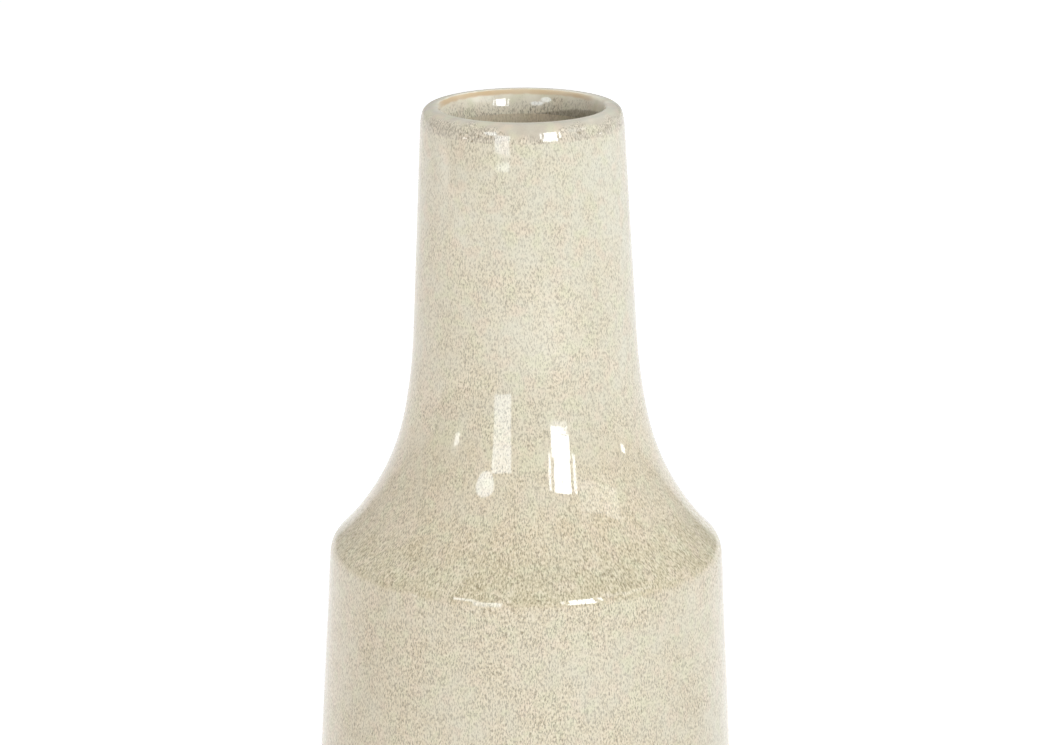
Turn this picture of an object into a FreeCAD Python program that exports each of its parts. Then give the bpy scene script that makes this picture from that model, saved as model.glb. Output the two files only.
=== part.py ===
"""Stoneware bottle vase: two clay sections joined at the shoulder, three coats of glaze, and felt pads on the foot.

Millimetres and degrees. The vase stands on z = 0 with its axis on +Z, and the origin is at the centre of its base.
Every part of the pot is a ring turned about that axis, so each is drawn as an outline in the r-z plane. An outline
is a walk of straight runs and tangent arcs. The same walk drawn a little inside its true line gives the surface
under a coat, so a coat and the clay below it share one face.
"""

import FreeCAD, Part

import math
import os

# Outside, from the top down. Angles are from the vertical.
HEIGHT = 250.0
LIP_CREST_RADIUS = 25.9  # of the circle along the top of the lip
LIP_CROWN_RADIUS = 9.0  # the top of the lip falls gently outwards
LIP_CROWN_ANGLE = 78.0
LIP_EDGE_RADIUS = 2.8
LIP_EDGE_ANGLE = 18.0  # where the tight outer edge eases into the roll of the lip
LIP_ROLL_RADIUS = 13.5
NECK_TAPER = 3.0
NECK_END_Z = 180.3  # the straight neck ends here and starts to flare
FLARE_RADIUS = 172.0
FLARE_ANGLE = 11.5
SWEEP_RADIUS = 76.0
SHOULDER_ANGLE = 45.0
SHOULDER_EDGE_RADIUS = 8.0
BODY_TAPER = 3.1

# Inside
INNER_LIP_RADIUS = 1.4
FUNNEL_ANGLE = 23.0  # below the lip the mouth narrows like a funnel
FUNNEL_RADIUS = 16.6
THROAT_LENGTH = 2.0  # straight, below the funnel
THROAT_TAPER = 7.0  # the wall thins below the throat
THROAT_EASE_RADIUS = 60.0
THINNING_END_Z = 215.0
INNER_EDGE_RADIUS = 3.0  # inside the shoulder's edge
INNER_FLOOR_RADIUS = 12.0
FLOOR_THICKNESS = 6.0

# The joint between the two sections
JOINT_BEVEL = 5.0  # how much lower its inner edge is

# Foot
PAD_COUNT = 4
PAD_THICKNESS = 1.5
PAD_RADIUS = 4.5
PAD_CIRCLE_RADIUS = 57.7
FOOT_EDGE_RADIUS = 2.5
FOOT_RING_INNER_RADIUS = 52.5
FOOT_RECESS = 3.0
BARE_CLAY_HEIGHT = 4.5

# Coats
COAT_THICKNESS = 0.5  # outside
COAT_EDGE_RADIUS = 0.4  # the rounded lower edge where the coat stops
LIP_COAT_THICKNESS = 0.25
LINER_THICKNESS = 0.4

FOOT_Z = PAD_THICKNESS
FLOOR_Z = FOOT_Z + FOOT_RECESS + FLOOR_THICKNESS
COAT_END_Z = FOOT_Z + BARE_CLAY_HEIGHT

OUTWARD, DOWN, INWARD = 0.0, -90.0, 180.0  # headings in the r-z plane
TOUCHING = 1e-7


class Walk:
    """A path of straight runs and tangent arcs in the r-z plane.

    It is drawn inset to the right of the true line, or to the left where inset is negative. pieces holds what has
    been drawn since the last take(): 2 points for a run, 3 for an arc.
    """

    def __init__(self, r, z, heading, inset=0.0):
        self.r, self.z, self.heading, self.inset = r, z, heading, inset
        self.pieces = []

    def right(self, distance):
        """The point that far to the right of here."""
        a = math.radians(self.heading)
        return self.r + distance * math.sin(a), self.z - distance * math.cos(a)

    def run(self, length):
        start = self.right(self.inset)
        a = math.radians(self.heading)
        self.r += length * math.cos(a)
        self.z += length * math.sin(a)
        self.pieces.append((start, self.right(self.inset)))
        return self

    def run_to_z(self, z):
        return self.run((z - self.z) / math.sin(math.radians(self.heading)))

    def run_to_r(self, r):
        return self.run((r - self.r) / math.cos(math.radians(self.heading)))

    def turn(self, radius, degrees):
        """An arc, to the left where degrees is positive and to the right where it is negative."""
        reach = -math.copysign(radius, degrees)
        centre_r, centre_z = self.right(reach)
        points = [self.right(self.inset)]
        for _ in range(2):
            self.heading += degrees / 2
            self.r, self.z = centre_r, centre_z
            self.r, self.z = self.right(-reach)
            points.append(self.right(self.inset))
        self.pieces.append(tuple(points))
        return self

    def run_then_turn(self, radius, degrees, end_z):
        """Runs just far enough for the arc after it to end at end_z."""
        ahead = Walk(self.r, self.z, self.heading).turn(radius, degrees)
        return self.run_to_z(end_z - (ahead.z - self.z)).turn(radius, degrees)

    def take(self):
        pieces, self.pieces = self.pieces, []
        return pieces


def lip_and_neck(inset=0.0):
    """The outer surface from the crest of the lip to the end of the straight neck: the walk, and the lip alone."""
    walk = Walk(LIP_CREST_RADIUS, HEIGHT, OUTWARD, inset)
    walk.turn(LIP_CROWN_RADIUS, LIP_CROWN_ANGLE - 90)
    walk.turn(LIP_EDGE_RADIUS, LIP_EDGE_ANGLE - LIP_CROWN_ANGLE)
    walk.turn(LIP_ROLL_RADIUS, NECK_TAPER - LIP_EDGE_ANGLE)
    lip = walk.take()
    return walk.run_to_z(NECK_END_Z), lip


def flare_and_shoulder(walk, wall, edge_radius):
    """From the end of the straight neck to the top of the body, at the depth of wall inside the outer surface."""
    walk.turn(FLARE_RADIUS + wall, FLARE_ANGLE - NECK_TAPER)
    walk.turn(SWEEP_RADIUS + wall, SHOULDER_ANGLE - FLARE_ANGLE)
    walk.turn(edge_radius, BODY_TAPER - SHOULDER_ANGLE)


def outside(inset=0.0):
    """The outer surface in three lengths, from the top: lip, upper and lower."""
    walk, lip = lip_and_neck(inset)
    flare_and_shoulder(walk, 0.0, SHOULDER_EDGE_RADIUS)
    upper = walk.take()
    walk.run_to_z(COAT_END_Z)
    return {"lip": lip, "upper": upper, "lower": walk.take()}


def inside(inset=0.0):
    """The inner surface in the same lengths, from the crest of the lip to the middle of the floor."""
    walk = Walk(LIP_CREST_RADIUS, HEIGHT, INWARD, -inset)
    walk.turn(INNER_LIP_RADIUS, 90 - FUNNEL_ANGLE)
    walk.turn(FUNNEL_RADIUS, FUNNEL_ANGLE)
    lip = walk.take()
    walk.run(THROAT_LENGTH)
    walk.turn(THROAT_EASE_RADIUS, THROAT_TAPER)
    walk.run_to_z(THINNING_END_Z)
    walk.turn(THROAT_EASE_RADIUS, NECK_TAPER - THROAT_TAPER)
    walk.run_to_z(NECK_END_Z)
    wall = lip_and_neck()[0].r - walk.r
    flare_and_shoulder(walk, wall, INNER_EDGE_RADIUS)
    walk.run(JOINT_BEVEL)
    upper = walk.take()
    walk.run_then_turn(INNER_FLOOR_RADIUS, -90 - BODY_TAPER, FLOOR_Z)
    walk.run_to_r(0)
    return {"lip": lip, "upper": upper, "lower": walk.take()}


def underside(start):
    """The bare foot, from the glaze line at start to the middle of the recess under the floor."""
    walk = Walk(*start, DOWN + BODY_TAPER)
    walk.run_then_turn(FOOT_EDGE_RADIUS, -90 - BODY_TAPER, FOOT_Z)
    step = FOOT_RECESS / 2
    walk.run_to_r(FOOT_RING_INNER_RADIUS + step)
    walk.turn(step, -90)
    walk.turn(step, 90)
    walk.run_to_r(0)
    return walk.take()


def coat_edge(start):
    """The rounded lower edge of the outer coat, from its surface at start in to the clay."""
    walk = Walk(*start, DOWN + BODY_TAPER)
    walk.turn(COAT_EDGE_RADIUS, -90)
    walk.run(COAT_THICKNESS - COAT_EDGE_RADIUS)
    return walk.take()


def reverse(pieces):
    return [piece[::-1] for piece in reversed(pieces)]


def shortened(pieces, length):
    """The same pieces with that much cut from the end of the last, a straight run."""
    start, end = pieces[-1]
    share = 1 - length / math.dist(start, end)
    cut = tuple(a + (b - a) * share for a, b in zip(start, end))
    return pieces[:-1] + [(start, cut)]


def edge(points):
    vectors = [FreeCAD.Vector(r, 0, z) for r, z in points]
    if len(vectors) == 2:
        return Part.LineSegment(*vectors).toShape()
    return Part.Arc(*vectors).toShape()


def turned(*lengths):
    """The solid that a closed outline makes about the Z axis. A straight line closes each gap in the outline."""
    pieces = sum(lengths, [])
    edges = []
    last = pieces[-1][-1]
    for piece in pieces:
        if math.dist(last, piece[0]) > TOUCHING:
            edges.append(edge((last, piece[0])))
        edges.append(edge(piece))
        last = piece[-1]
    face = Part.Face(Part.Wire(edges))
    solid = face.revolve(FreeCAD.Vector(0, 0, 0), FreeCAD.Vector(0, 0, 1), 360)
    return solid if solid.Volume > 0 else solid.reversed()


def body_section(outer, inner):
    """Foot ring, floor and wall, thrown as one piece, with a bevelled rim that takes the neck section."""
    foot = underside(outer["lower"][-1][-1])
    return turned(outer["lower"], foot, reverse(inner["lower"]))


def neck_section(outer_lip, outer, inner_lip, inner):
    """Shoulder, neck and lip, thrown as one piece and joined to the body by its bevelled lower rim."""
    return turned(outer_lip, outer["upper"], reverse(inner["upper"]), reverse(inner_lip))


def outer_glaze(surface, clay):
    """The coat from just under the lip to the line above the bare foot."""
    skin = shortened(surface["upper"] + surface["lower"], COAT_EDGE_RADIUS)
    end = coat_edge(skin[-1][-1])
    return turned(skin, end, reverse(clay["upper"] + clay["lower"]))


def lip_glaze(outer, inner, outer_clay, inner_clay):
    """The thin coat over the lip, between the outer coat and the liner."""
    return turned(reverse(inner), outer, reverse(outer_clay), inner_clay)


def liner_glaze(surface, clay):
    """The coat poured round the inside, from the lip to the floor."""
    return turned(surface["upper"] + surface["lower"], reverse(clay["upper"] + clay["lower"]))


def foot_pad(index):
    """One felt disc stuck to the foot ring."""
    angle = math.radians(360 / PAD_COUNT * (index + 0.5))
    centre = FreeCAD.Vector(PAD_CIRCLE_RADIUS * math.cos(angle), PAD_CIRCLE_RADIUS * math.sin(angle), 0)
    return Part.makeCylinder(PAD_RADIUS, PAD_THICKNESS, centre)


def parts():
    outer, outer_clay = outside(), outside(COAT_THICKNESS)
    inner, inner_clay = inside(), inside(LINER_THICKNESS)
    outer_lip_clay = outside(LIP_COAT_THICKNESS)["lip"]
    inner_lip_clay = inside(LIP_COAT_THICKNESS)["lip"]
    made = {
        "body_section": body_section(outer_clay, inner_clay),
        "neck_section": neck_section(outer_lip_clay, outer_clay, inner_lip_clay, inner_clay),
        "outer_glaze": outer_glaze(outer, outer_clay),
        "lip_glaze": lip_glaze(outer["lip"], inner["lip"], outer_lip_clay, inner_lip_clay),
        "liner_glaze": liner_glaze(inner, inner_clay),
    }
    for index in range(PAD_COUNT):
        made[f"foot_pad_{index + 1}"] = foot_pad(index)
    return made


os.makedirs("parts", exist_ok=True)
for name, shape in parts().items():
    shape.exportStep(f"parts/{name}.step")
    print(f"{name}: valid {shape.isValid()}, {shape.Volume / 1000:.2f} cm3")
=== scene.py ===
"""The looks of the stoneware bottle vase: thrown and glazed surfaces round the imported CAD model, and a studio.

Metres, in the CAD model's frame. Each part of the pot is turned again from the outline of its CAD node, with
more points, the marks of the wheel and the slight lean of the neck, and stands for that node.
"""

import math

import bpy
import numpy as np
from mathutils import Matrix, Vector


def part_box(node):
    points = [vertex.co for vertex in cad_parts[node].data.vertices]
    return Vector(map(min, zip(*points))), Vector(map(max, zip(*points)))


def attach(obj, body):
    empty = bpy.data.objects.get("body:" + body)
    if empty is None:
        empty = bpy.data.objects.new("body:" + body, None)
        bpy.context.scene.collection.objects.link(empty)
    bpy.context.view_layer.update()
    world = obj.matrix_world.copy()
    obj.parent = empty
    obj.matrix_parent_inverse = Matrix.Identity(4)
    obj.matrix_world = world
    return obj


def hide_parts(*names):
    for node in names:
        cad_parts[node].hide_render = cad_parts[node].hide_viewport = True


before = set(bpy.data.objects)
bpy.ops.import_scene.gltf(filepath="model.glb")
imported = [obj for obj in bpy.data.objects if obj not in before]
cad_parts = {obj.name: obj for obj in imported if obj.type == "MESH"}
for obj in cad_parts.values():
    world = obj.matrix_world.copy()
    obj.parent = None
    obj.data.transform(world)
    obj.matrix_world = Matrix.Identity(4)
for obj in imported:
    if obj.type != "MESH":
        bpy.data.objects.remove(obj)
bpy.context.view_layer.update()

MM = 0.001
BODY = "root"

rim_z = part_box("lip_glaze")[1].z
lip_end_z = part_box("lip_glaze")[0].z
shoulder_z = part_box("body_section")[1].z
foot_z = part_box("body_section")[0].z
coat_end_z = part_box("outer_glaze")[0].z

# --- Outlines of the CAD nodes --------------------------------------------------------------------

CORNER_DEGREES = 20  # an outline that turns by more than this at a point has a corner there
SEAM_TOLERANCE = 1e-7
SEAM_DECIMALS = 7


def seam_of(node):
    """The (r, z) points of a turned CAD node's section, clockwise along the seam of its mesh.

    It also says whether the outline is open at the axis, as the body's is, or goes all the way round.
    """
    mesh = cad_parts[node].data
    places = np.empty(len(mesh.vertices) * 3)
    mesh.vertices.foreach_get("co", places)
    places = places.reshape(-1, 3)
    on_seam = (np.abs(places[:, 1]) < SEAM_TOLERANCE) & (places[:, 0] > 0)
    points = {i: tuple(np.round(places[i, [0, 2]], SEAM_DECIMALS)) for i in np.flatnonzero(on_seam)}
    beside = {}
    for a, b in (edge.vertices for edge in mesh.edges):
        if a in points and b in points and points[a] != points[b]:
            beside.setdefault(points[a], set()).add(points[b])
            beside.setdefault(points[b], set()).add(points[a])
    ends = sorted(p for p in beside if len(beside[p]) == 1)
    walk = [ends[0] if ends else min(beside)]
    while onward := sorted(beside[walk[-1]] - set(walk)):
        walk.append(onward[0])
    walk = np.array(walk)
    if ends:  # a flat floor or underside has no seam: it runs on to the axis
        walk = np.vstack([[0, walk[0, 1]], walk, [0, walk[-1, 1]]])
    r, z = walk.T
    area = np.sum(r * np.roll(z, -1) - np.roll(r, -1) * z)
    return walk[::-1] if area > 0 else walk, bool(ends)


def turn_at(points, closed):
    """How far the outline turns at each point, in degrees. The ends of an open outline count as corners."""
    steps = np.diff(np.vstack([points, points[:1]]), axis=0)
    headings = np.arctan2(steps[:, 1], steps[:, 0])
    turns = headings - np.roll(headings, 1)
    turns = np.abs(np.degrees((turns + math.pi) % (2 * math.pi) - math.pi))
    if not closed:
        turns[[0, -1]] = 180
    return turns


def spans_of(node):
    """The node's outline in smooth spans from corner to corner. A closed one starts nearest the axis."""
    points, open_at_axis = seam_of(node)
    corners = np.flatnonzero(turn_at(points, not open_at_axis) > CORNER_DEGREES)
    if not open_at_axis:
        first = min(corners, key=lambda i: (points[i, 0], -points[i, 1]))
        points = np.roll(points, -first, axis=0)
        corners = np.append(np.sort((corners - first) % len(points)), len(points))
        points = np.vstack([points, points[:1]])
    return [points[a : b + 1] for a, b in zip(corners, corners[1:])], open_at_axis


def spline_through(points, spacing):
    """A natural cubic spline through the points, with new points at most spacing apart."""
    gaps = np.hypot(*np.diff(points, axis=0).T)
    slopes = np.diff(points, axis=0) / gaps[:, None]
    count = len(points)
    matrix, target = np.eye(count), np.zeros((count, 2))
    for i in range(1, count - 1):
        matrix[i, i - 1 : i + 2] = gaps[i - 1], 2 * (gaps[i - 1] + gaps[i]), gaps[i]
        target[i] = 6 * (slopes[i] - slopes[i - 1])
    bends = np.linalg.solve(matrix, target)
    made = [points[:1]]
    for i, gap in enumerate(gaps):
        steps = math.ceil(gap / spacing)
        u = np.linspace(0, gap, steps + 1)[1:, None]
        start = slopes[i] - gap * (2 * bends[i] + bends[i + 1]) / 6
        made.append(points[i] + u * start + u**2 * bends[i] / 2 + u**3 * (bends[i + 1] - bends[i]) / (6 * gap))
    return np.vstack(made)


# --- The thrown shape -----------------------------------------------------------------------------

LEAN_START_Z = shoulder_z + 34 * MM
LEAN_BLEND = 12 * MM
NECK_LEAN = -0.0165  # sideways per unit of height
BODY_LEAN = 0.0033
RIM_TILT = 0.005  # the rim is that much higher on its right, per unit of width
SHOULDER_TILT = 0.015  # the shoulder is a little higher at the front
SHOULDER_REACH = 14 * MM

RING_PITCH = 6.5 * MM  # from one wheel mark to the next
RING_WAVER = 0.25  # of the pitch: a mark strays up and down by that
RING_WAVER_LENGTH = 17 * MM
RING_HEIGHT = 0.008 * MM
RING_SWELL = 0.5  # the height of the marks varies by that share
RING_SWELL_LENGTH = 23 * MM
OVAL = 0.001  # of the radius
OVAL_TWIST = 60 * MM  # of height, in which the oval's phase goes on by a radian
AXIS_REACH = 20 * MM  # nearer the axis than this the marks die away

EDGE_WAVER = 0.45 * MM  # up and down, where the outer coat stops
EDGE_REACH = 9 * MM
EDGE_ROLL = 0.18 * MM  # how much the coat thickens just above its edge
EDGE_ROLL_WIDTH = 1.6 * MM
EDGE_LOBES = range(2, 15)  # waves round the pot
EDGE_SEED = 5

SEGMENTS = 320  # round the pot
NO_EXTRA = 1.0  # a spacing that is longer than any outline, and so adds no points


def wave(angle, seed, lobes):
    """A smooth random wave round the pot, mostly within 1 of nothing."""
    rng = np.random.default_rng(seed)
    waves = [rng.normal() * np.cos(k * angle + rng.uniform(0, 2 * math.pi)) for k in lobes]
    return sum(waves) / math.sqrt(len(lobes))


def drift(z):
    """How far the axis of the thrown pot strays along X at a height."""
    over = (z - LEAN_START_Z) / LEAN_BLEND
    return BODY_LEAN * z + NECK_LEAN * LEAN_BLEND * np.logaddexp(0, over)


def thrown(r, z, angle):
    """Where a point of the true shape lies on the thrown pot.

    The pot has wheel marks, is slightly oval, leans at the neck, and isn't quite level at rim and shoulder.
    """
    turns = z / RING_PITCH + angle / (2 * math.pi) + RING_WAVER * np.sin(z / RING_WAVER_LENGTH)
    swell = 1 + RING_SWELL * np.sin(z / RING_SWELL_LENGTH)
    rings = RING_HEIGHT * np.sin(2 * math.pi * turns) * swell
    oval = OVAL * r * np.cos(2 * angle + z / OVAL_TWIST)
    r = r + np.clip(r / AXIS_REACH, 0, 1) * (rings + oval)
    up_neck = np.clip((z - LEAN_START_Z) / (rim_z - LEAN_START_Z), 0, 1)
    x, y = r * np.cos(angle), r * np.sin(angle)
    near_shoulder = np.exp(-(((z - shoulder_z) / SHOULDER_REACH) ** 2))
    rise = RIM_TILT * up_neck * x - SHOULDER_TILT * near_shoulder * y
    return np.stack([x + drift(z), y, z + rise], axis=-1)


def coated(r, z, angle):
    """The same for the outer coat, whose lower edge wavers and has a slight roll above it."""
    up = z - coat_end_z
    near_edge = np.clip(1 - up / EDGE_REACH, 0, 1) ** 2
    roll = EDGE_ROLL * np.exp(-(((up - EDGE_ROLL_WIDTH) / EDGE_ROLL_WIDTH) ** 2))
    waver = EDGE_WAVER * wave(angle, EDGE_SEED, EDGE_LOBES)
    return thrown(r + roll, z + near_edge * waver, angle)


def grid_faces(rows, segments, closed):
    """The quads between neighbouring rows of points round the axis."""
    last = rows if closed else rows - 1
    row, column = np.meshgrid(np.arange(last), np.arange(segments), indexing="ij")
    below, beside = (row + 1) % rows, (column + 1) % segments
    upper, lower = row * segments, below * segments
    corners = [upper + column, lower + column, lower + beside, upper + beside]
    return np.stack(corners, axis=-1).reshape(-1, 4).tolist()


def turned(name, outline, on_axis, segments, place):
    """A mesh turned from an outline. Its attribute along says how far along the outline a point is."""
    along = np.concatenate([[0], np.cumsum(np.hypot(*np.diff(outline, axis=0).T))])
    poles = outline[[0, -1]] if on_axis else []
    outline, along = (outline[1:-1], along[1:-1]) if on_axis else (outline[:-1], along[:-1])
    angles = np.arange(segments) * 2 * math.pi / segments
    r, angle = np.meshgrid(outline[:, 0], angles, indexing="ij")
    z = np.repeat(outline[:, 1:], segments, axis=1)
    places = place(r, z, angle).reshape(-1, 3)
    values = np.repeat(along, segments)
    faces = grid_faces(len(outline), segments, closed=not on_axis)
    for pole, ring in zip(poles, (0, len(outline) - 1)):
        centre = place(pole[:1], pole[1:], np.zeros(1))
        places, values = np.vstack([places, centre]), np.append(values, along[ring])
        first = ring * segments
        for i in range(segments):
            side = (first + i, first + (i + 1) % segments)
            faces.append((len(places) - 1, *(side if ring == 0 else side[::-1])))
    mesh = bpy.data.meshes.new(name)
    mesh.from_pydata(places.tolist(), [], faces)
    mesh.attributes.new("along", "FLOAT", "POINT").data.foreach_set("value", values.astype(np.float32))
    mesh.shade_smooth()
    mesh.set_sharp_from_angle(angle=math.radians(CORNER_DEGREES))
    made = bpy.data.objects.new(name, mesh)
    bpy.context.scene.collection.objects.link(made)
    return made


def stand_in(piece, node, material):
    """Lets a finished piece stand for a CAD node."""
    piece.data.materials.append(material)
    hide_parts(node)
    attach(piece, BODY)


def rethrown(node, material, spacing, hidden=None, place=thrown):
    """A finer, thrown version of a turned CAD node. A span that hidden picks keeps its own points."""
    spans, on_axis = spans_of(node)
    rows = [spline_through(span, NO_EXTRA if hidden and hidden(span) else spacing) for span in spans]
    outline = np.vstack([rows[0]] + [row[1:] for row in rows[1:]])
    stand_in(turned(node + "_thrown", outline, on_axis, SEGMENTS, place), node, material)


# --- Materials ------------------------------------------------------------------------------------


class Nodes:
    """The nodes of a material or world. Each method adds some and returns the socket that they lead to."""

    def __init__(self, owner, shader):
        self.owner = owner
        owner.use_nodes = True
        self.tree = owner.node_tree
        self.shader = self.tree.nodes[shader]

    def put(self, socket, value):
        """Links a socket or sets a value. A colour may come without its alpha."""
        if isinstance(value, bpy.types.NodeSocket):
            self.tree.links.new(value, socket)
        elif hasattr(value, "__len__") and len(value) == 3 and socket.type == "RGBA":
            socket.default_value = (*value, 1)
        else:
            socket.default_value = value

    def add(self, kind, output, inputs, **settings):
        """Adds a node and returns one of its outputs. inputs has a value or a socket for each named input."""
        node = self.tree.nodes.new(kind)
        for name, value in settings.items():
            setattr(node, name, value)
        for name, value in inputs.items():
            self.put(node.inputs[name], value)
        return node.outputs[output]

    def place(self, stretch=1.0, shift=0.0):
        """Where a point is on the object, with patterns made that much longer up and down."""
        place = self.add("ShaderNodeTexCoord", "Object", {})
        inputs = {"Vector": place, "Scale": (1, 1, 1 / stretch), "Location": (shift,) * 3}
        return self.add("ShaderNodeMapping", "Vector", inputs)

    def place_round(self, radius, stretch):
        """The same, but as on a cylinder of that radius, so that a slope doesn't squash the pattern."""
        place = self.add("ShaderNodeTexCoord", "Object", {})
        flat = self.vector("MULTIPLY", {0: place, 1: (1, 1, 0)})
        ring = self.vector("SCALE", {0: self.vector("NORMALIZE", {0: flat}), "Scale": radius})
        rise = self.vector("MULTIPLY", {0: place, 1: (0, 0, 1 / stretch)})
        return self.vector("ADD", {0: ring, 1: rise})

    def vector(self, operation, inputs):
        return self.add("ShaderNodeVectorMath", "Vector", inputs, operation=operation)

    def part(self, axis, of=None):
        """X, Y or Z of a vector, or of where a point is on the object."""
        vector = self.place() if of is None else of
        return self.add("ShaderNodeSeparateXYZ", axis, {"Vector": vector})

    def height(self):
        return self.part("Z")

    def attribute(self, name):
        return self.add("ShaderNodeAttribute", "Fac", {}, attribute_name=name)

    def noise(self, place, size, detail=2.0, roughness=0.5):
        inputs = {"Vector": place, "Scale": 1 / size, "Detail": detail, "Roughness": roughness}
        return self.add("ShaderNodeTexNoise", "Fac", inputs)

    def stray(self, place, size, amount, detail=2.0):
        """A noise from -amount to amount."""
        return self.fade(self.noise(place, size, detail), 0.3, 0.7, -amount, amount)

    def spots(self, place, spacing, rarity, largest):
        """How far outside the nearest of a lot of random spots a point is: less than nothing inside it.

        Both that and largest, the radius of the largest spots, are shares of the spacing. rarity is the share
        of places for a spot that stay empty.
        """
        inputs = {"Vector": place, "Scale": 1 / spacing}
        distance = self.add("ShaderNodeTexVoronoi", "Distance", inputs)
        color = distance.node.outputs["Color"]
        chance = self.add("ShaderNodeSeparateColor", "Red", {"Color": color})
        radius = self.fade(chance, rarity, 1.0, 0.0, largest)
        return self.sum(distance, self.product(radius, -1.0))

    def absolute(self, value):
        return self.add("ShaderNodeMath", "Value", {0: value}, operation="ABSOLUTE")

    def sum(self, *terms):
        return self._chain("ADD", terms)

    def product(self, *terms):
        return self._chain("MULTIPLY", terms)

    def _chain(self, operation, terms):
        total = terms[0]
        for term in terms[1:]:
            total = self.add("ShaderNodeMath", "Value", {0: total, 1: term}, operation=operation)
        return total

    def fade(self, value, start, end, low=0.0, high=1.0):
        """Goes smoothly from low to high as value goes from start to end."""
        inputs = {"Value": value, "From Min": start, "From Max": end, "To Min": low, "To Max": high}
        return self.add("ShaderNodeMapRange", "Result", inputs, interpolation_type="SMOOTHSTEP")

    def profile(self, value, stops):
        """Follows straight lines through the (value, level) stops."""
        start, end = stops[0][0], stops[-1][0]
        inputs = {"Value": value, "From Min": start, "From Max": end}
        share = self.add("ShaderNodeMapRange", "Result", inputs)
        curve = self.add("ShaderNodeFloatCurve", "Value", {"Value": share})
        points = curve.node.mapping.curves[0].points
        while len(points) < len(stops):
            points.new(0.5, 0.5)
        for point, (at, level) in zip(points, stops):
            point.location = ((at - start) / (end - start), level)
        curve.node.mapping.update()
        return curve

    def mix(self, share, a, b):
        """The colour a where share is 0 and b where it is 1."""
        return self.add("ShaderNodeMix", 2, {0: share, 6: a, 7: b}, data_type="RGBA")

    def bump(self, height, depth, normal=None):
        inputs = {"Height": height, "Distance": depth, "Strength": 1.0}
        if normal:
            inputs["Normal"] = normal
        return self.add("ShaderNodeBump", "Normal", inputs)

    def finish(self, **inputs):
        """Sets the shader's inputs, such as base_color for Base Color, and returns the material or world."""
        for name, value in inputs.items():
            self.put(self.shader.inputs[name.replace("_", " ").title().replace("Ior", "IOR")], value)
        return self.owner


def material_nodes(name):
    return Nodes(bpy.data.materials.new(name), "Principled BSDF")


PALE = (0.805, 0.80, 0.68)  # where the glaze lies thick
WARM = (0.775, 0.675, 0.487)  # where more of the clay shows through
MILKY_PAINTED_LIGHT = (0.97, 0.925, 0.77)  # paler, on the inside and crest of the lip: painted light
GREYISH = (0.615, 0.55, 0.45)  # where it is thin on the lip
OLIVE = (0.705, 0.635, 0.44)  # where it is thin above the shoulder
PINKISH = (0.84, 0.72, 0.575)
GREENISH = (0.78, 0.78, 0.565)
# the liner's brown down in the neck, also the colour of a painted shadow inside the lip
LINER_AND_SHADOW_BROWN = (0.27, 0.21, 0.14)
FLECK = (0.97, 0.91, 0.76)
SPECK = (0.285, 0.235, 0.15)
DARK_SPECK = (0.19, 0.15, 0.075)
TAN = (0.77, 0.59, 0.37)

# how thin the outer glaze lies at each height
THINNESS = [
    (coat_end_z, 0.62),
    (shoulder_z - 14 * MM, 0.62),
    (shoulder_z, 0.68),
    (shoulder_z + 5 * MM, 1.0),
    (shoulder_z + 16 * MM, 0.9),
    (shoulder_z + 34 * MM, 0.66),
    (shoulder_z + 70 * MM, 0.46),
    (rim_z, 0.30),
]

SLOPE_RADIUS = 50 * MM  # low on the slope above the shoulder
CLOUD_SIZE = 26 * MM
PATCH_SIZE = 5 * MM
GREEN_SIZE = 6 * MM
PINK_SIZE = 5.4 * MM
GRAIN_SIZE = 0.36 * MM
SPECK_SPACING = 0.8 * MM
BLOT_SPACING = 2.4 * MM
PEEL_SIZE = 2.2 * MM
PEEL_DEPTH = 0.0025 * MM


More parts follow.
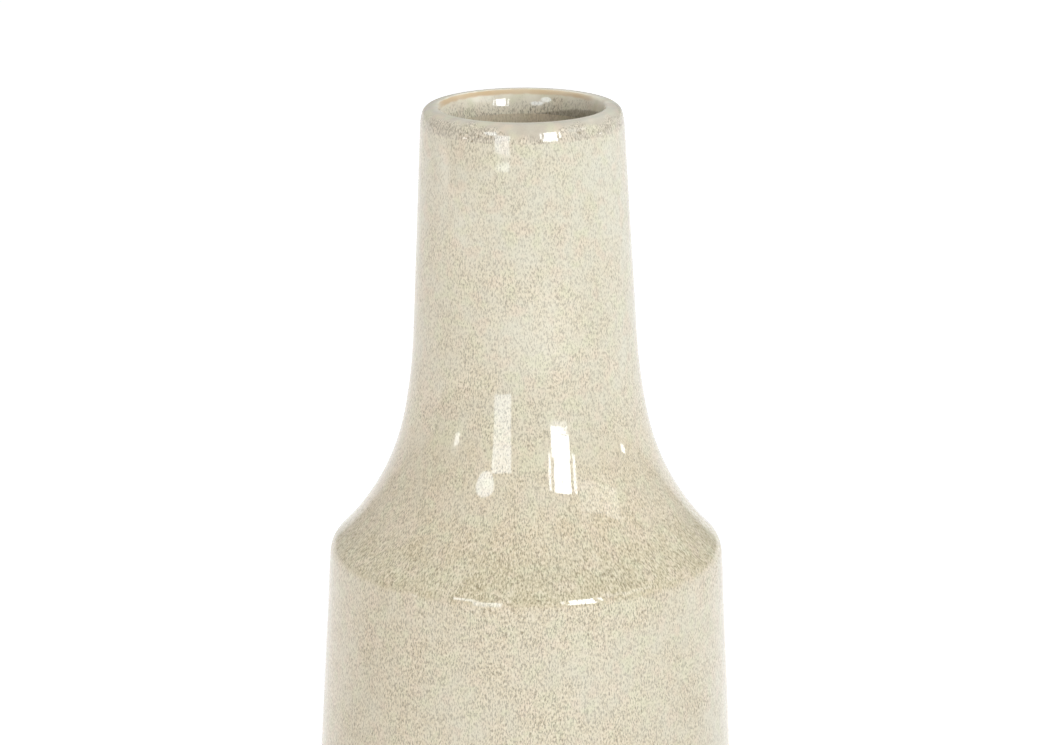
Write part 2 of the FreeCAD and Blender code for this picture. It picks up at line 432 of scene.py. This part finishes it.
def glaze(n, thinness, calm=0.0, tan=0.0, broken=0.0, brown_and_shadow=0.0, pale=PALE, warm=WARM, slope=None):
    """Speckled oatmeal glaze.

    thinness says how much the clay below colours it, calm where it has no speckle, tan where it breaks to clay,
    broken where it breaks into dark specks, brown where it turns dark brown, down in the neck and as a painted
    shadow deep inside the lip on its right, and slope where the surface leans back, so that its grain is laid
    out as on a cylinder.
    """
    place = n.place()
    drawn_out = n.place(stretch=2.5)
    cloud = n.stray(place, CLOUD_SIZE, 0.16, detail=3)
    patch = n.stray(n.place(stretch=1.3, shift=0.7), PATCH_SIZE, 0.12)
    thin = n.sum(thinness, cloud, patch)
    ground = n.mix(thin, pale, warm)
    green = n.fade(n.noise(n.place(shift=0.3), GREEN_SIZE, detail=1), 0.48, 0.7, 0, 0.5)
    pink = n.fade(n.noise(n.place(shift=1.9), PINK_SIZE, detail=1), 0.5, 0.72, 0, 0.5)
    ground = n.mix(pink, n.mix(green, ground, GREENISH), PINKISH)
    # brown down in the neck, and the painted shadow deep inside the lip
    ground = n.mix(brown_and_shadow, ground, LINER_AND_SHADOW_BROWN)

    speckled = n.sum(1.0, n.product(calm, -1.0))
    strength = n.product(n.fade(thin, 0.1, 1.0, 0.58, 1.25), speckled)
    grain = n.noise(drawn_out, GRAIN_SIZE, roughness=0.6)
    if slope is not None:
        grain_on_slope = n.noise(n.place_round(SLOPE_RADIUS, 2.2), GRAIN_SIZE, roughness=0.6)
        grain = n.mix(slope, grain, grain_on_slope)
    mottle = n.fade(grain, 0.3, 0.7)
    dark = n.product(strength, n.fade(mottle, 0.5, 0.0, 0, 0.6))
    light = n.product(strength, n.fade(mottle, 0.5, 1.0, 0, 0.6))
    off_speck = n.spots(drawn_out, SPECK_SPACING, rarity=0.3, largest=0.36)
    speck = n.fade(off_speck, -0.16, 0.05, 0.45, 0.0)
    off_blot = n.spots(n.place(stretch=1.6, shift=2.3), BLOT_SPACING, rarity=0.4, largest=0.15)
    blot = n.fade(off_blot, -0.08, 0.04, 0.55, 0.0)
    broken_up = n.sum(n.fade(mottle, 0.5, 0.1), n.fade(off_speck, -0.12, 0.12, 0.8, 0.0))
    ground = n.mix(light, ground, FLECK)
    ground = n.mix(dark, ground, SPECK)
    ground = n.mix(n.product(speck, strength), ground, SPECK)
    ground = n.mix(n.product(blot, strength), ground, SPECK)
    ground = n.mix(n.product(broken_up, broken), ground, DARK_SPECK)
    ground = n.mix(tan, ground, TAN)

    peel = n.noise(place, PEEL_SIZE, detail=1)
    normal = n.bump(peel, PEEL_DEPTH)
    gloss = n.sum(0.02, n.product(0.04, peel))
    return n.finish(base_color=ground, roughness=gloss, normal=normal, ior=1.55)


def outer_glaze():
    """Its olive tint lies low on the slope above the shoulder."""
    n = material_nodes("oatmeal_glaze")
    slope_starts = n.fade(n.height(), shoulder_z + 1 * MM, shoulder_z + 4 * MM)
    slope_ends = n.fade(n.height(), shoulder_z + 48 * MM, shoulder_z + 36 * MM)
    slope = n.product(slope_starts, slope_ends)
    low_slope_ends = n.fade(n.height(), shoulder_z + 20 * MM, shoulder_z + 7 * MM)
    warm = n.mix(n.product(slope_starts, low_slope_ends), WARM, OLIVE)
    return glaze(n, n.profile(n.height(), THINNESS), calm=n.product(slope, 0.1), warm=warm, slope=slope)


LIP_CREST = 8.3 * MM  # along the lip's outline, from the bottom of the mouth's funnel
TONGUE = 4 * MM  # half the width of the calm stretch that runs down the front of the lip
TONGUE_MIDDLE = 1.5 * MM
TONGUE_LENGTH = 4 * MM


def lip_glaze():
    """Milky and calm on the crest, tan along the inner edge at the back, and speckled below on both sides. The
    inside and crest are painted paler than the outside, and the right of the top and the far left of the outside
    are painted paler too: painted light. A painted shadow lies in brown deep inside on the right.

    along goes up the inside of the lip, over the crest and down the outside.
    """
    n = material_nodes("lip_glaze")
    ragged = n.stray(n.place(), 2.5 * MM, 0.12 * MM, detail=3)
    straying = n.stray(n.place(shift=0.5), 7 * MM, 1.6 * MM, detail=4)
    along = n.attribute("along")
    across = n.part("X")
    depth = n.part("Y")
    beside = n.absolute(n.sum(across, -TONGUE_MIDDLE))
    tongue = n.fade(beside, 2.4 * TONGUE, TONGUE, 0, -TONGUE_LENGTH)
    calm_in = n.fade(n.sum(along, straying), LIP_CREST - 4.6 * MM, LIP_CREST - 2.8 * MM)
    calm_out = n.fade(n.sum(along, straying, tongue), LIP_CREST + 4.2 * MM, LIP_CREST + 2.2 * MM)
    calm = n.product(calm_in, calm_out, 0.92)

    tan_line = n.sum(along, ragged)
    tan_start = n.fade(tan_line, LIP_CREST - 2.7 * MM, LIP_CREST - 1.9 * MM)
    tan_end = n.fade(tan_line, LIP_CREST - 0.5 * MM, LIP_CREST - 1.0 * MM)
    patchy = n.fade(n.noise(n.place(shift=0.2), 14 * MM), 0.35, 0.65, 0.6, 1.0)
    back_left = n.sum(depth, n.product(across, -0.25))
    tan = n.product(tan_start, tan_end, patchy, n.fade(back_left, 5 * MM, 15 * MM))

    outside = n.fade(along, LIP_CREST - 1 * MM, LIP_CREST + 2 * MM)
    deep = n.fade(along, LIP_CREST - 4 * MM, LIP_CREST - 8 * MM, 0, 0.4)
    deep = n.product(deep, n.fade(across, 8 * MM, 18 * MM, 1, 0))
    low_down = n.fade(n.height(), lip_end_z + 3 * MM, lip_end_z, 0, -0.37)
    on_top = n.fade(along, LIP_CREST + 4 * MM, LIP_CREST + 1.5 * MM)
    # painted light: the right of the lip's top and the far left of its outside are made paler, where more light
    # falls
    painted_light_right = n.product(n.fade(across, 12 * MM, 21 * MM, 0, -0.5), on_top)
    painted_light_left = n.fade(across, -4 * MM, -18 * MM, 0.06, -0.08)
    thin = n.sum(n.product(outside, n.sum(0.64, painted_light_left, painted_light_right)), 0.05, low_down, deep)
    low_up = n.fade(n.height(), lip_end_z, lip_end_z + 3 * MM)
    # painted light: the inside and crest of the lip are paler than the outside glaze
    pale = n.mix(outside, MILKY_PAINTED_LIGHT, PALE)
    warm = n.mix(low_up, WARM, GREYISH)

    broken = n.fade(n.sum(along, straying), LIP_CREST - 3.5 * MM, LIP_CREST - 7.5 * MM, 0.0, 0.3)
    broken = n.product(broken, n.fade(across, 8 * MM, 20 * MM, 1.0, 0.4))
    # painted shadow: a brown band deep inside the lip on its right, where the rim shades it
    shadow_edge = n.sum(along, ragged, n.product(across, -0.2))
    brown_and_shadow = n.fade(shadow_edge, -0.3 * MM, -1.1 * MM, 0.0, 0.55)
    return glaze(n, thin, calm=calm, tan=tan, broken=broken, brown_and_shadow=brown_and_shadow, pale=pale, warm=warm)


def liner_glaze():
    """It turns brown down in the neck."""
    n = material_nodes("liner_glaze")
    brown_and_shadow = n.fade(n.height(), rim_z - 8 * MM, rim_z - 18 * MM)
    return glaze(n, 0.8, calm=0.6, brown_and_shadow=brown_and_shadow)


DARK_CLAY = (0.36, 0.22, 0.115)
LIGHT_CLAY = (0.5, 0.335, 0.19)
FLASHED_CLAY = (0.42, 0.19, 0.075)  # redder next to the glaze
IRON = (0.10, 0.05, 0.025)


def stoneware():
    """Bare clay, with iron specks and fine grooves from turning."""
    n = material_nodes("stoneware")
    place = n.place()
    clay = n.mix(n.noise(place, 9 * MM, detail=4), DARK_CLAY, LIGHT_CLAY)
    iron = n.fade(n.spots(place, 1.6 * MM, rarity=0.6, largest=0.35), -0.1, 0.04, 0.85, 0.0)
    clay = n.mix(iron, clay, IRON)
    flash = n.fade(n.height(), foot_z + 2 * MM, coat_end_z + 0.5 * MM, 0, 0.7)
    clay = n.mix(flash, clay, FLASHED_CLAY)
    grain = n.noise(place, 0.5 * MM, detail=4, roughness=0.7)
    grooves = n.noise(n.place(stretch=0.04), 9 * MM, detail=3)
    normal = n.bump(grain, 0.08 * MM, n.bump(grooves, 0.15 * MM))
    return n.finish(base_color=clay, roughness=n.fade(grain, 0.3, 0.7, 0.62, 0.85), normal=normal)


DARK_FELT = (0.055, 0.042, 0.032)
LIGHT_FELT = (0.16, 0.13, 0.1)


def felt():
    n = material_nodes("felt")
    fibres = n.noise(n.place(), 0.35 * MM, detail=5, roughness=0.75)
    color = n.mix(fibres, DARK_FELT, LIGHT_FELT)
    return n.finish(base_color=color, roughness=0.95, sheen_weight=0.4, normal=n.bump(fibres, 0.2 * MM))


WHITE = (1, 1, 1)
FLOOR_WHITE = (0.88, 0.88, 0.88)


def floor_cloth():
    """Plain white, and glowing with its own light behind the vase: painted light, stronger further back."""
    n = material_nodes("floor")
    behind = n.part("Y")
    # the floor's own glow: painted light, none in front, rising behind the vase
    glow = n.sum(n.fade(behind, -0.02, 0.14, 0.0, 0.55), n.fade(behind, 0.2, 1.2, 0.0, 0.15))
    return n.finish(base_color=FLOOR_WHITE, roughness=0.9, emission_color=WHITE, emission_strength=glow)


# --- The pieces -----------------------------------------------------------------------------------


def clay_side(span):
    """The side of the outer coat that lies on the clay: the outline runs back up there."""
    return span[-1, 1] > span[0, 1]


clay = stoneware()
rethrown("outer_glaze", outer_glaze(), 1.15 * MM, hidden=clay_side, place=coated)
rethrown("lip_glaze", lip_glaze(), 0.3 * MM)
rethrown("liner_glaze", liner_glaze(), 2.4 * MM)
rethrown("body_section", clay, 2 * MM)
rethrown("neck_section", clay, 6 * MM)

PAD_ROUNDING = 0.35 * MM
PAD_ROUNDING_STEP = 15  # degrees
PAD_FUZZ = 0.07 * MM
PAD_SEGMENTS = 96
PAD_RINGS = 9  # on each face


def felt_pad(node, material):
    """A punched felt disc with soft edges, a little uneven, that stands for a CAD cylinder."""
    low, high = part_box(node)
    middle = (low + high) / 2
    radius, height = (high.x - low.x) / 2 - 2 * PAD_FUZZ, high.z - low.z
    quarter = np.radians(np.arange(0, 91, PAD_ROUNDING_STEP))
    inset = PAD_ROUNDING * (1 - np.sin(quarter))
    drop = PAD_ROUNDING * (1 - np.cos(quarter))
    upper_edge = np.column_stack([radius - inset, height - drop])
    lower_edge = np.column_stack([radius - inset, drop])[::-1]
    face = np.linspace(0.1, 0.9, PAD_RINGS) * radius
    top = np.column_stack([face, np.full(PAD_RINGS, height)])
    bottom = np.column_stack([face, np.zeros(PAD_RINGS)])[::-1]
    outline = np.vstack([[0, height], top, upper_edge, lower_edge, bottom, [0, 0]])
    rng = np.random.default_rng(int(node[-1]))

    def place(r, z, angle):
        side = np.sin(math.pi * np.clip(z / height, 0, 1))
        r = r + PAD_FUZZ * rng.uniform(-1, 1, np.shape(r + z + angle)) * (r > 0) * side
        return np.stack([middle.x + r * np.cos(angle), middle.y + r * np.sin(angle), z], axis=-1)

    stand_in(turned(node + "_felt", outline, True, PAD_SEGMENTS, place), node, material)


PADS = 4
felt_material = felt()
for pad in range(PADS):
    felt_pad(f"foot_pad_{pad + 1}", felt_material)

# --- Studio ---------------------------------------------------------------------------------------

SUBJECT = Vector((0, 0, 0.17))
LIGHT_DISTANCE = 1.5

COOL = (0.97, 1.0, 1.03)
SKY = (0.89, 1.0, 1.11)
WARMISH = (1.06, 0.98, 0.93)


def softbox(name, azimuth, elevation, width, height, radiance, color=WHITE, oval=False, reflected=True):
    """An area light that the vase sees at that azimuth and elevation, as wide and high as those degrees.

    Azimuth 0 is towards the viewer, and 90 is to the right. A reflected light is seen in the glaze and lights
    nothing. The others light the surface and aren't seen in it.
    """
    a, e = math.radians(azimuth), math.radians(elevation)
    towards = Vector((math.sin(a) * math.cos(e), -math.cos(a) * math.cos(e), math.sin(e)))
    light = bpy.data.lights.new(name, "AREA")
    light.shape = "ELLIPSE" if oval else "RECTANGLE"
    light.size = 2 * LIGHT_DISTANCE * math.tan(math.radians(width / 2))
    light.size_y = 2 * LIGHT_DISTANCE * math.tan(math.radians(height / 2))
    area = light.size * light.size_y * (math.pi / 4 if oval else 1)
    light.energy = radiance * math.pi * area
    light.color = color
    made = bpy.data.objects.new(name, light)
    bpy.context.scene.collection.objects.link(made)
    made.location = SUBJECT + towards * LIGHT_DISTANCE
    made.rotation_euler = towards.to_track_quat("Z", "Y").to_euler()
    made.visible_camera = False
    made.visible_diffuse = not reflected
    made.visible_glossy = reflected


# the window on the right, in panes with dark bars between them, and its light on the surface
softbox("key", 31.8, 16.5, 14, 14, 15, color=COOL)
softbox("key_below", 31.3, 6.0, 17, 7, 14, color=COOL)
softbox("key_left", 20.7, 15.5, 2.2, 14, 9, color=COOL)
softbox("key_right", 42.9, 15.5, 2.6, 15, 9, color=COOL)
softbox("key_low", 31.3, 1.6, 15, 1.2, 3.2, color=COOL)
softbox("key_wash", 22, 15, 34, 22, 5.5, reflected=False)

# a dimmer window and a round lamp on the left
softbox("window_low", -22, 0.8, 16, 9.4, 4.0, color=SKY)
softbox("window_high", -22, 11, 17, 11, 5.0, color=SKY)
softbox("lamp", -36, 20, 15, 10.5, 5.4, color=SKY, oval=True)

# glints at both sides, and a faint panel on the right
softbox("side_left", -66, 1.5, 5, 4, 6)
softbox("side_right", 96, 2.0, 5, 1.6, 8)
softbox("panel", 71, 22.5, 18, 12, 2.0)
softbox("panel_left", 54, 23, 14, 12, 1.3, color=SKY)

# soft light from the left and from above
softbox("fill", -75, -2, 50, 26, 3.2, color=WARMISH, reflected=False)
softbox("top", 42, 64, 56, 40, 2.35, reflected=False)

LEFT_OF_ROOM = (0.02, 0.02, 0.02)
RIGHT_OF_ROOM = (0.08, 0.08, 0.08)
BACK_LEFT = (0.60, 0.59, 0.58)
BACK_RIGHT = (0.34, 0.34, 0.34)
ABOVE_BACK = (0.68, 0.68, 0.68)
PLAIN_WHITE = (1.1, 1.1, 1.1)  # what the camera sees of the room


def room():
    """The world: dark in front, lighter at the back, and plain white where the camera sees it."""
    n = Nodes(bpy.data.worlds.new("studio"), "Background")
    direction = n.add("ShaderNodeTexCoord", "Generated", {})
    sideways, backwards, upwards = (n.part(axis, of=direction) for axis in "XYZ")
    front = n.mix(n.fade(sideways, -1, 1), LEFT_OF_ROOM, RIGHT_OF_ROOM)
    back = n.mix(n.fade(sideways, -0.6, 0.6), BACK_LEFT, BACK_RIGHT)
    back = n.mix(n.fade(upwards, 0.35, 0.65), back, ABOVE_BACK)
    around = n.mix(n.fade(backwards, -0.1, 0.5), front, back)
    seen = n.add("ShaderNodeLightPath", "Is Camera Ray", {})
    return n.finish(color=n.mix(seen, around, PLAIN_WHITE))


bpy.context.scene.world = room()

FLOOR_SIZE = 40
bpy.ops.mesh.primitive_plane_add(size=FLOOR_SIZE)
floor = bpy.context.object
floor.name = "floor"
floor.data.materials.append(floor_cloth())

# --- Camera ---------------------------------------------------------------------------------------

PITCH = math.radians(15.6)  # it looks down by this
DISTANCE = 1.106
LENS = 125.6  # this and the sensor in millimetres, as Blender has them
SENSOR = 36
LOOKS_AT = Vector((-0.00062, 0, rim_z - 82.5 * MM))

camera_data = bpy.data.cameras.new("camera")
camera_data.sensor_width = SENSOR
camera_data.lens = LENS
camera = bpy.data.objects.new("camera", camera_data)
bpy.context.scene.collection.objects.link(camera)
to_camera = Vector((0, -math.cos(PITCH), math.sin(PITCH)))
camera.location = LOOKS_AT + to_camera * DISTANCE
camera.rotation_euler = to_camera.to_track_quat("Z", "Y").to_euler()
bpy.context.scene.camera = camera
bpy.context.scene.view_settings.view_transform = "Standard"
